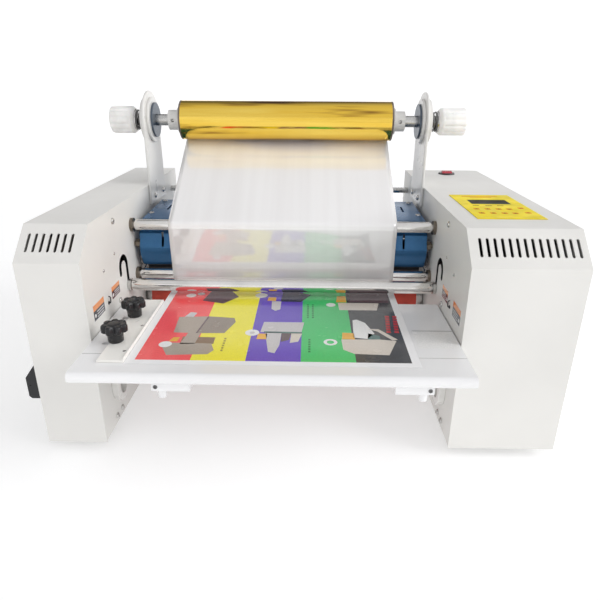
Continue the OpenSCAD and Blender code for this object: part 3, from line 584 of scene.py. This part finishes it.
def foil_winding():
    """The wound foil: rounded shoulders, and turns that sit about a tenth of a millimetre uneven."""
    low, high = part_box("foil_roll")
    outer = radius_of("foil_roll")
    inner = radius_of("foil_core") + 0.1 * MM
    axis = middle("foil_roll")
    half = (high.x - low.x) / 2
    shoulder, dip = 0.5 * MM, 0.07
    steps, sides = 150, 160

    def uneven(i, angle, radius, height):
        if radius < outer - shoulder:
            return radius
        wander = smooth_noise.noise(Vector((height * 4, math.cos(angle) * 2.2, math.sin(angle) * 2.2)))
        return radius - (dip + dip * wander) * MM

    body = [(outer, -half + shoulder + (2 * half - 2 * shoulder) * i / steps) for i in range(steps + 1)]
    left = [(inner, -half), (outer - shoulder, -half), (outer - shoulder * 0.3, -half + shoulder * 0.3)]
    right = [(r, -h) for r, h in reversed(left)]
    bm = bmesh.new()
    rings(bm, left + body + right, sides, along_x(axis), uneven, closed=True)
    for face in bm.faces:
        if abs(face.calc_center_median().x - axis.x) > half - 2 * MM:
            face.material_index = 1
    piece = make_piece("foil_winding", bm, ["foil_gold", "core_dark"], "supply", smooth=50)
    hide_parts("foil_roll")


def circle_point(centre, radius, angle):
    """A point on a circle in the side view, as (y, z)."""
    return Vector((centre.y + radius * math.cos(angle), centre.z + radius * math.sin(angle)))


def arc(centre, radius, start, end):
    """Points along part of a circle in the side view."""
    steps = 10
    return [circle_point(centre, radius, start + (end - start) * i / steps) for i in range(steps + 1)]


def film_line():
    """The film's side view: off the roll's underside, over the front of both guide bars, under the heated
    roller and out to the pull rollers. Returns its points as (y, z), each with its share of the slackness."""
    guides = ("foil_roll", "upper_guide_bar", "mid_guide_bar", "heat_roller")
    roll, upper, mid, heat = (middle(n) for n in guides)
    clear = 0.35 * MM
    radii = [radius_of(n) + clear for n in guides]
    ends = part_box("film_web")[1].y

    def heading(a, b):
        return math.atan2(b.z - a.z, b.y - a.y)

    def gap(a, b):
        return math.hypot(b.y - a.y, b.z - a.z)

    leave = heading(roll, upper) + TURN + math.acos((radii[0] + radii[1]) / gap(roll, upper))
    drop = heading(upper, mid) - TURN / 4 + TURN - math.asin((radii[1] - radii[2]) / gap(upper, mid))
    nip = heading(mid, heat) + TURN - math.acos((radii[2] - radii[3]) / gap(mid, heat))
    over = arc(upper, radii[1], leave - TURN / 2, drop)
    under = arc(mid, radii[2], drop, nip)
    press = arc(heat, radii[3], nip, 0.75 * TURN)
    start = circle_point(roll, radii[0], leave)
    stop = Vector((ends, heat.z - radii[3]))
    spans = [(start, over[0], 30), (over[-1], under[0], 24), (under[-1], press[0], 10), (press[-1], stop, 12)]
    line = []
    for (a, b, count), bend in zip(spans, [over, under, press, [stop]]):
        line += [(a.lerp(b, i / count), math.sin(math.pi * i / count)) for i in range(count)]
        line += [(p, 0.0) for p in bend]
    return line


def carrier_film():
    """One thin skin with a little slackness in its free spans, a few tenths of a millimetre deep."""
    line = film_line()
    low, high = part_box("film_web")
    columns, billow, thickness = 48, 0.9 * MM, 0.12 * MM
    bm = bmesh.new()
    rows = []
    for i, (point, slack) in enumerate(line):
        before, after = line[max(i - 1, 0)][0], line[min(i + 1, len(line) - 1)][0]
        along = (after - before).normalized()
        row = []
        for k in range(columns + 1):
            x = low.x + (high.x - low.x) * k / columns
            wave = smooth_noise.noise(Vector((x * 16, point.x * 1.5, point.y * 2.5)))
            lift = billow * slack * wave
            row.append(bm.verts.new((x, point.x - along.y * lift, point.y + along.x * lift)))
        rows.append(row)
    for a, b in zip(rows, rows[1:]):
        for k in range(columns):
            bm.faces.new((a[k], a[k + 1], b[k + 1], b[k]))
    piece = make_piece("carrier_film", bm, ["film_clear"], "frame", smooth=180)
    skin = piece.modifiers.new("skin", "SOLIDIFY")
    skin.thickness = thickness
    skin.offset = 0
    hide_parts("film_web")
    length = sum((b[0] - a[0]).length for a, b in zip(line, line[1:]))


# ---- Fasteners, springs and knobs ----------------------------------------------------------------

def islands(node):
    """The separate solids of a CAD node, each as a list of its points."""
    bm = bmesh.new()
    bm.from_mesh(NODES[node].data)
    bmesh.ops.remove_doubles(bm, verts=bm.verts, dist=WELD)
    left = set(bm.verts)
    found = []
    while left:
        group, edge = set(), [next(iter(left))]
        while edge:
            v = edge.pop()
            if v not in group:
                group.add(v)
                edge += [e.other_vert(v) for e in v.link_edges]
        left -= group
        found.append([v.co.copy() for v in group])
    bm.free()
    return sorted(found, key=lambda g: tuple(round(min(p[k] for p in g), 5) for k in range(3)))


def socket_screw(bm, place, head_r, head_h, shank_r, length):
    """Button-head screw with a hexagon socket. Its head's underside is at the local origin, pointing up Z."""
    dome_angles = [TURN / 4 * i / 6 for i in range(5)]
    across = head_r * 0.36
    shank = [(0, -length), (shank_r * 0.8, -length), (shank_r, -length + shank_r * 0.3), (shank_r, 0)]
    head = [(head_r * 0.97, 0)]
    head += [(head_r * math.cos(a), head_h * (0.25 + 0.75 * math.sin(a))) for a in dome_angles]
    head.append((across * 1.12, head_h * 0.985))
    socket = [(across, head_h * 0.9), (across, head_h * 0.35), (0, head_h * 0.3)]
    socket_from = len(shank + head)

    def hexagonal(i, angle, radius, height):
        if i < socket_from:
            return radius
        return radius / math.cos((angle % (TURN / 6)) - TURN / 12)

    rings(bm, shank + head + socket, 24, place, hexagonal)


def screws():
    """Every machine screw where the CAD has it, pointing the way that its head faces."""
    shank_share, on_rim = 0.54, 0.98
    bm = bmesh.new()
    for group in islands("machine_screws"):
        low = Vector([min(p[k] for p in group) for k in range(3)])
        high = Vector([max(p[k] for p in group) for k in range(3)])
        centre, head_r = (low + high) / 2, (high.z - low.z) / 2
        rim = [p.x for p in group if math.hypot(p.y - centre.y, p.z - centre.z) > head_r * on_rim]
        seat = min(rim, key=lambda x: abs(x - centre.x))
        side = 1 if seat > centre.x else -1
        crown = high.x if side > 0 else low.x
        length = abs(seat - (low.x if side > 0 else high.x))
        place = Matrix.Translation((seat, centre.y, centre.z)) @ Matrix.Rotation(side * TURN / 4, 4, "Y")
        socket_screw(bm, place, head_r, abs(crown - seat), head_r * shank_share, length)
    piece = make_piece("socket_screws", bm, ["steel"], "frame")
    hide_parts("machine_screws")


def hood_fixings():
    """Screws on the hood's sloping top, and a hexagon pivot nut between each end of the hood and the wall."""
    low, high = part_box("heater_hood")
    mid_x = (low.x + high.x) / 2
    half = (high.x - low.x) / 2
    slope = math.atan2(4, 103)
    # Each screw of an end: in from that end, behind the hood's front, and below its top
    seats = ((5.5 * MM, 51.5 * MM, 3.0 * MM), (8 * MM, 119 * MM, 0.35 * MM))
    bm = bmesh.new()
    for side in (-1, 1):
        for in_from_end, behind, below in seats:
            seat = Vector((mid_x + side * (half - in_from_end), low.y + behind, high.z - below))
            place = Matrix.Translation(seat) @ Matrix.Rotation(slope, 4, "X")
            socket_screw(bm, place, 3.6 * MM, 2.0 * MM, 1.8 * MM, 3.5 * MM)
    make_piece("hood_screws", bm, ["steel"], "frame")
    # The nut's washer face, flats and stud end, as radii and heights in millimetres
    nut = ((0, 0), (5.2, 0), (6, 0.8), (6, 5.2), (5.2, 6), (3, 6), (3, 7.9), (0, 7.9))
    bm = bmesh.new()
    for side in (-1, 1):
        place = Matrix.Translation((mid_x + side * half, low.y + 7 * MM, low.z + 31 * MM))
        place = place @ Matrix.Rotation(side * TURN / 4, 4, "Y")
        rings(bm, [(radius * MM, height * MM) for radius, height in nut], 6, place)
    make_piece("hood_pivot_nuts", bm, ["bronze"], "frame", smooth=20)


def springs():
    """Round-wire compression springs between the friction discs and the spring cups."""
    axis = middle("supply_shaft")
    discs_low, discs_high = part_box("friction_discs")
    coil_r, wire, turns = 13 * MM, 1.1 * MM, 3
    points_a_turn = 28
    steps = points_a_turn * turns
    for side, start, end in (
        ("right", discs_high.x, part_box("right_spring_cup")[0].x),
        ("left", discs_low.x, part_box("left_spring_cup")[1].x),
    ):
        way = 1 if end > start else -1
        run = abs(end - start) - 2 * wire
        path = []
        for i in range(steps + 1):
            share = i / steps
            # The first and the last half turn lie flat
            eased = min(1.0, max(0.0, (share * turns - 0.5) / (turns - 1)))
            along = start + way * (wire + run * eased)
            a = TURN * turns * share
            path.append(Vector((along, axis.y + coil_r * math.cos(a), axis.z + coil_r * math.sin(a))))
        bm = bmesh.new()
        sweep(bm, path, wire)
        piece = make_piece(side + "_tension_spring", bm, ["spring_steel"], "supply")
        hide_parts("tension_springs")


def tension_knobs():
    """Moulded knobs with rounded flutes, a raised rim and a domed cap."""
    flutes, flute_depth = 12, 1.5 * MM
    bore, skirt, sides = 8.1 * MM, 7 * MM, 144
    for node, body, way in (("right_tension_knob", "right_knob", 1), ("left_tension_knob", "left_knob", -1)):
        low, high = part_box(node)
        outer, length = radius_of(node), high.x - low.x
        face = Vector((low.x if way > 0 else high.x, middle(node).y, middle(node).z))
        place = Matrix.Translation(face) @ Matrix.Rotation(way * TURN / 4, 4, "Y")
        profile = [
            (bore, 2 * MM), (bore, 0), (outer - 3.4 * MM, 0), (outer - 2.6 * MM, 0.4 * MM),
            (outer - 0.3 * MM, 3.6 * MM), (outer, 4.4 * MM), (outer, skirt - 0.5 * MM),
        ]
        profile += [(outer, skirt + (length - skirt - 2 * MM) * t) for t in (0.0, 0.06, 0.5, 0.94, 1.0)]
        profile += [
            (outer - 0.5 * MM, length - 0.9 * MM), (outer - 1.6 * MM, length - 0.1 * MM),
            (outer - 4 * MM, length - 0.15 * MM), (outer - 5.2 * MM, length - 0.9 * MM),
            (outer - 9 * MM, length - 0.7 * MM), (0, length - 0.5 * MM),
        ]

        def fluted(i, angle, radius, height):
            if height < skirt or radius < outer - 4.5 * MM:
                return radius
            wave = 0.5 - 0.5 * math.cos(flutes * angle)
            return radius - flute_depth * wave ** 3

        bm = bmesh.new()
        rings(bm, profile, sides, place, fluted)
        piece = make_piece(node + "_moulding", bm, ["knob_white"], body, smooth=42)
        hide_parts(node)


def star_knobs():
    """Seven-lobed clamping knobs: tapered neck, rounded lobes and a dished top round a small cap."""
    lobes, lobe_depth = 7, 3.6 * MM
    stud, sides = 3 * MM, 140
    for node, body in (("front_star_knob", "front_star"), ("rear_star_knob", "rear_star")):
        low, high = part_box(node)
        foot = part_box("edge_guide")[1].z - 1.5 * MM + 0.1 * MM
        outer = (high.x - low.x) / 2 - 0.8 * MM
        rise = (high.z - foot) * 0.9
        place = Matrix.Translation((middle(node).x, middle(node).y, foot))
        tip = low.z - foot
        neck = [
            (0, tip), (stud - 0.5 * MM, tip), (stud, tip + 0.5 * MM), (stud, 0),
            (7.6 * MM, 0), (8.1 * MM, 0.6 * MM), (8.6 * MM, rise - 10.5 * MM), (9.2 * MM, rise - 9.8 * MM),
        ]
        head = [
            (outer - 1.4 * MM, rise - 9.6 * MM), (outer, rise - 8.2 * MM), (outer, rise - 3 * MM),
            (outer - 0.5 * MM, rise - 1.2 * MM), (outer - 1.8 * MM, rise - 0.1 * MM),
        ]
        crown = [
            (9.0 * MM, rise - 0.3 * MM), (7.2 * MM, rise - 1.0 * MM), (6.6 * MM, rise - 1.0 * MM),
            (6.2 * MM, rise - 0.3 * MM), (5.4 * MM, rise), (0, rise),
        ]
        lobed_from, lobed_to = len(neck), len(neck) + len(head)

        def lobed(i, angle, radius, height):
            if not lobed_from <= i < lobed_to:
                return radius
            dip = (0.5 - 0.5 * math.cos(lobes * angle)) ** 1.6
            return radius - lobe_depth * dip

        bm = bmesh.new()
        rings(bm, neck + head + crown, sides, place, lobed)
        piece = make_piece(node + "_moulding", bm, ["black_plastic"], body, smooth=48)
        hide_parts(node)


# ---- Prints and small trim -----------------------------------------------------------------------

def page_drawings():
    """Plain drawings of bench machines for the printed page: (ink, layer number, outline) patches, in
    millimetres from the page's front left corner."""
    return [
        # Front row, left: a table press with a folded top
        ("brown", 2, [(46, 47), (82, 45), (82, 61), (46, 62)]),
        ("taupe", 3, [(38, 19), (80, 22), (85, 31), (80, 46), (36, 47), (29, 37)]),
        ("taupe", 3, [(46, 44), (62, 45), (64, 74), (50, 74)]),
        ("taupe", 4, [(33, 72), (59, 71), (65, 117), (30, 114)]),
        ("taupe_shade", 4, [(59, 71), (90, 72), (99, 102), (96, 113), (65, 117)]),
        ("plum", 5, [(58, 71), (60, 71), (66, 117), (64, 117)]),
        ("amber", 4, [(33, 50), (42, 50), (43, 60), (36, 60)]),
        ("label_white", 5, disc(31, 43, 7)),
        ("pale_grey", 4, [(36, 115), (47, 115), (49, 127), (41, 129)]),
        # Front row, middle: a cutter on a stand
        ("pale_grey", 3, [(130, 76), (176, 74), (179, 103), (132, 103)]),
        ("teal", 4, [(134, 74), (177, 73), (177, 77), (134, 78)]),
        ("plum", 3, [(154, 75), (165, 74), (163, 57), (154, 52)]),
        ("pale_warm", 4, [(165, 74), (177, 73), (173, 53), (164, 50)]),
        ("pale_grey", 4, [(136, 75), (154, 75), (153, 44), (149, 26), (142, 29), (139, 50)]),
        ("amber", 4, [(127, 58), (138, 58), (138, 72), (128, 72)]),
        ("label_white", 5, disc(121, 74, 8)),
        ("pale_grey", 6, disc(121, 74, 3)),
        # Front row, right: a long laminator with a hopper
        ("pale_warm", 3, [(232, 27), (268, 25), (280, 58), (262, 61), (220, 60), (221, 36)]),
        ("teal", 4, [(249, 61), (263, 61), (263, 70), (251, 76)]),
        ("pale_warm", 5, [(250, 88), (264, 87), (282, 61), (276, 59), (262, 81)]),
        ("label_white", 4, [(234, 65), (249, 62), (258, 76), (250, 104), (241, 113), (236, 111)]),
        ("amber", 4, [(221, 61), (235, 60), (235, 76), (222, 77)]),
        ("label_white", 4, disc(208, 53, 7.5)),
        ("green", 5, disc(208, 53, 4)),
        # Rear row, mostly behind the hold-down bar
        ("plum", 3, [(48, 166), (76, 157), (93, 180), (82, 199), (54, 199)]),
        ("label_white", 4, disc(30, 183, 6.5)),
        ("pale_grey", 4, disc(42, 189, 5)),
        ("slate", 3, [(148, 166), (174, 165), (187, 190), (172, 199), (150, 199)]),
        ("pale_grey", 4, [(137, 167), (149, 166), (149, 141), (143, 136), (138, 142)]),
        ("amber", 4, [(131, 168), (142, 168), (142, 180), (132, 180)]),
        ("label_white", 5, disc(122, 186, 8)),
        ("plum", 3, [(236, 166), (286, 166), (288, 198), (238, 196)]),
        ("pale_warm", 4, [(221, 164), (273, 164), (268, 141), (222, 141)]),
        ("amber", 4, [(219, 166), (232, 166), (232, 187), (221, 187)]),
        ("label_white", 5, disc(212, 157, 6)),
    ]


def printed_page():
    """The A4 sheet on the tray: five colour fields inside a white border, with plain machine drawings."""
    low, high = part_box("printed_sheet")
    bed, paper, print_layer = low.z + 0.05 * MM, 0.15 * MM, 0.02 * MM
    border, stripes = 8.5 * MM, ["red", "yellow", "violet", "green", "charcoal"]
    wide, long = high.x - low.x, high.y - low.y
    field = (wide - 2 * border) / len(stripes)

    def plane(u, v, lift):
        return Vector((low.x + u, low.y + v, bed + lift))

    blank = [("print_paper", 1, rectangle(0, 0, wide, long))]
    page = printed("printed_page", blank, plane, "sheet", layer=paper)
    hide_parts("printed_sheet")

    def above(u, v, lift):
        return plane(u, v, paper + lift)

    patches = [
        (slot, 1, rectangle(border + i * field, border, border + (i + 1) * field, long - border))
        for i, slot in enumerate(stripes)
    ]
    for slot, level, outline in page_drawings():
        patches.append((slot, level, [(u * MM, v * MM) for u, v in outline]))
    # Blocks and dashes stand where the page has lettering, in millimetres. A row of dashes is its ink, its
    # place across the page, where its first dash starts and its number of dashes.
    block_rows, block, block_pitch, block_lean = 7, 5, 7, 0.6
    dash_wide, dash_long, dash_pitch = 2.4, 3.6, 5.5
    dash_rows = (("olive", 92, 29, 6), ("fern", 184, 29, 6), ("fern", 182, 116, 8), ("fern", 188, 116, 8))
    for row in range(block_rows):
        start = (78 + block_pitch * row) * MM
        for u in (272 + block_lean * row, 281 + block_lean * row):
            patches.append(("text_red", 2, rectangle(u * MM, start, (u + block) * MM, start + block * MM)))
    for slot, u, first, count in dash_rows:
        for dash in range(count):
            start = (first + dash_pitch * dash) * MM
            outline = rectangle(u * MM, start, (u + dash_wide) * MM, start + dash_long * MM)
            patches.append((slot, 2, outline))
    printed("page_print", patches, above, "sheet", layer=print_layer)


def wall_labels():
    """Plain two-tone labels on both inner walls: an orange band over a dark field with light lines."""
    # Each label's lower front corner, from the plate's, then its width and its height
    labels = ((0.0724, 0.1494, 0.028, 0.016), (0.0144, 0.1464, 0.033, 0.019))
    edge, stroke, dot = 0.0006, 0.0009, 0.0022
    for side, node in ((-1, "left_side_plate"), (1, "right_side_plate")):
        low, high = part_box(node)
        face = high.x if side < 0 else low.x
        front, bottom = low.y, low.z

        def plane(u, v, lift):
            return Vector((face - side * lift, front + u, bottom + v))

        patches = []
        for y, z, wide, tall in labels:
            back, top, split = y + wide, z + tall, z + tall * 0.62
            patches.append(("label_white", 2, rectangle(y, z, back, top)))
            patches.append(("label_orange", 3, rectangle(y + edge, split, back - edge, top - edge)))
            patches.append(("label_dark", 3, rectangle(y + edge, z + edge, back - edge, split)))
            for k in range(3):
                line = z + tall * (0.12 + 0.16 * k)
                outline = rectangle(y + wide * 0.3, line, y + wide * 0.9, line + stroke)
                patches.append(("label_white", 4, outline))
            patches.append(("label_white", 4, disc(y + wide * 0.15, z + tall * 0.3, dot)))
        printed(("left" if side < 0 else "right") + "_wall_labels", patches, plane, "frame", layer=0.06 * MM)


def wall_hooks():
    """Small wire hooks on the inner walls, between the labels."""
    # The wire's bends, out from the wall and up it, and its foot's radii and heights, in millimetres
    bends = ((0, 0), (1.8, 0), (2.3, 0.8), (2.4, 3), (2.4, 6), (1.4, 7.2), (0, 7.6))
    foot = ((0, 0), (2.2, 0), (2.2, 0.6), (1.6, 1), (0, 1))
    bm = bmesh.new()
    for side, node in ((-1, "left_side_plate"), (1, "right_side_plate")):
        low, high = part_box(node)
        root = Vector((high.x if side < 0 else low.x, low.y + 60 * MM, low.z + 151 * MM))
        into = Vector((-side, 0, 0))
        up = Vector((0, 0.25, 1)).normalized()
        sweep(bm, [root + (into * out + up * rise) * MM for out, rise in bends], 0.7 * MM, 8)
        on_wall = Matrix.Translation(root) @ Matrix.Rotation(-side * TURN / 4, 4, "Y")
        rings(bm, [(radius * MM, height * MM) for radius, height in foot], 16, on_wall)
    make_piece("wall_hooks", bm, ["black_plastic"], "frame")


def keypad_print():
    """Generic key symbols on the membrane: plain lines, two rows of four keys and a red pair at the side."""
    low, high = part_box("keypad_panel")
    width, depth = high.x - low.x, high.y - low.y
    # A key's size. Every size and place here is a share of the panel's width or depth.
    wide, tall = 0.085, 0.05

    def plane(u, v, lift):
        return Vector((low.x + u * width, low.y + v * depth, high.z + lift))

    def key(u, v, slot):
        half, foot = wide * 0.28, v - tall * 0.25
        triangle = [(u - half, foot), (u + half, foot), (u, v + tall * 0.3)]
        return [
            ("key_orange", 1, rectangle(u - wide / 2, v - tall / 2, u + wide / 2, v + tall / 2)),
            (slot, 2, triangle),
        ]

    patches = [
        ("key_orange", 1, rectangle(0.18, 0.905, 0.78, 0.93)),
        ("key_orange", 1, rectangle(0.30, 0.865, 0.66, 0.88)),
    ]
    for v in (0.20, 0.36):
        for u in (0.16, 0.33, 0.50, 0.66):
            patches += key(u, v, "key_brown")
    for v in (0.22, 0.40):
        patches += key(0.86, v, "key_red")
    for u in (0.22, 0.42, 0.60):
        patches.append(("key_brown", 1, rectangle(u - 0.05, 0.49, u + 0.05, 0.505)))
    printed("keypad_print", patches, plane, "frame", layer=0.05 * MM)


def tray_trim():
    """The tray's front seam, and on the right a blank label up to the edge of the tray's rear step."""
    low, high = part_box("feed_tray")

    def plane(u, v, lift):
        return Vector((low.x + u, low.y + v, high.z + lift))

    width, seam, inset = high.x - low.x, 42 * MM, 0.4 * MM
    left, right = width - 46 * MM, width - inset
    patches = [
        ("seam_grey", 1, rectangle(inset, seam, right, seam + 0.7 * MM)),
        ("label_white", 2, rectangle(left, 64 * MM, width - 2 * MM, 105 * MM)),
        ("seam_grey", 2, rectangle(left, 105.6 * MM, right, 106.4 * MM)),
        ("seam_grey", 2, rectangle(left, 107.6 * MM, right, 108 * MM)),
    ]
    printed("tray_trim", patches, plane, "tray", layer=0.03 * MM)


def tray_block_screws():
    """Screws in the front faces of the tray's two support blocks."""
    low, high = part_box("feed_tray")
    mid_x = (low.x + high.x) / 2
    bm = bmesh.new()
    for x in (-114 * MM, 155 * MM):
        seat = Matrix.Translation((mid_x + x, low.y + 6 * MM, high.z - 16.5 * MM))
        seat = seat @ Matrix.Rotation(TURN / 4, 4, "X")
        socket_screw(bm, seat, 2.2 * MM, 1.2 * MM, 1.2 * MM, 3 * MM)
    make_piece("tray_block_screws", bm, ["spring_steel"], "tray")


def guide_screws():
    """Two small countersunk screws along the edge guide's inner side."""
    low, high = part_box("edge_guide")
    bm = bmesh.new()
    for y in (20 * MM, 82 * MM):
        seat = Matrix.Translation((high.x - 5 * MM, low.y + y, high.z - 1.5 * MM))
        socket_screw(bm, seat, 1.8 * MM, 0.5 * MM, 1.0 * MM, 1.5 * MM)
    make_piece("guide_screws", bm, ["steel"], "guide")


# ---- Assembly ------------------------------------------------------------------------------------

# Edge rounding for the CAD pieces that show, in millimetres: its width and the shortest edge that gets it
SOFT_EDGES = {
    "left_cover": (1.1, 12), "right_cover": (1.1, 12), "left_side_plate": (0.4, 12),
    "right_side_plate": (0.4, 12), "base_plates": (0.5, 12), "heater_hood": (0.7, 8),
    "supply_arms": (1.5, 1.3), "bearing_flanges": (1.0, 1.2), "bearing_caps": (0.6, 1.2),
    "lower_cradles": (0.8, 0.7), "tray_ledges": (0.5, 8), "feed_tray": (0.8, 8), "edge_guide": (0.5, 8),
    "pressure_handle": (1.0, 3), "keypad_panel": (0.25, 8), "power_inlet": (0.6, 4), "power_supply": (1.0, 8),
    "friction_discs": (0.9, 1.2), "core_chucks": (0.5, 0.9), "rocker_switch": (0.4, 4),
    "rocker_arms": (0.5, 4),
}


def dress_cad_nodes():
    """Gives every CAD node its material, and those that show their rounded edges."""
    for node, piece in NODES.items():
        piece.data.materials.clear()
        piece.data.materials.append(material(SLOT_OF[node]))
    for node, (width, shortest) in SOFT_EDGES.items():
        soften(node, width * MM, shortest * MM)


bpy.context.scene.view_settings.view_transform = "Standard"
add_camera()
add_world()
add_stage()
add_softbox("key", (4.2, -1.4, 2.3), (0.0, 0.0, 0.15), (2.6, 2.6), 105)
dress_cad_nodes()
foil_winding()
carrier_film()
screws()
hood_fixings()
springs()
tension_knobs()
star_knobs()
printed_page()
wall_labels()
wall_hooks()
keypad_print()
tray_trim()
tray_block_screws()
guide_screws()

bpy.context.view_layer.update()
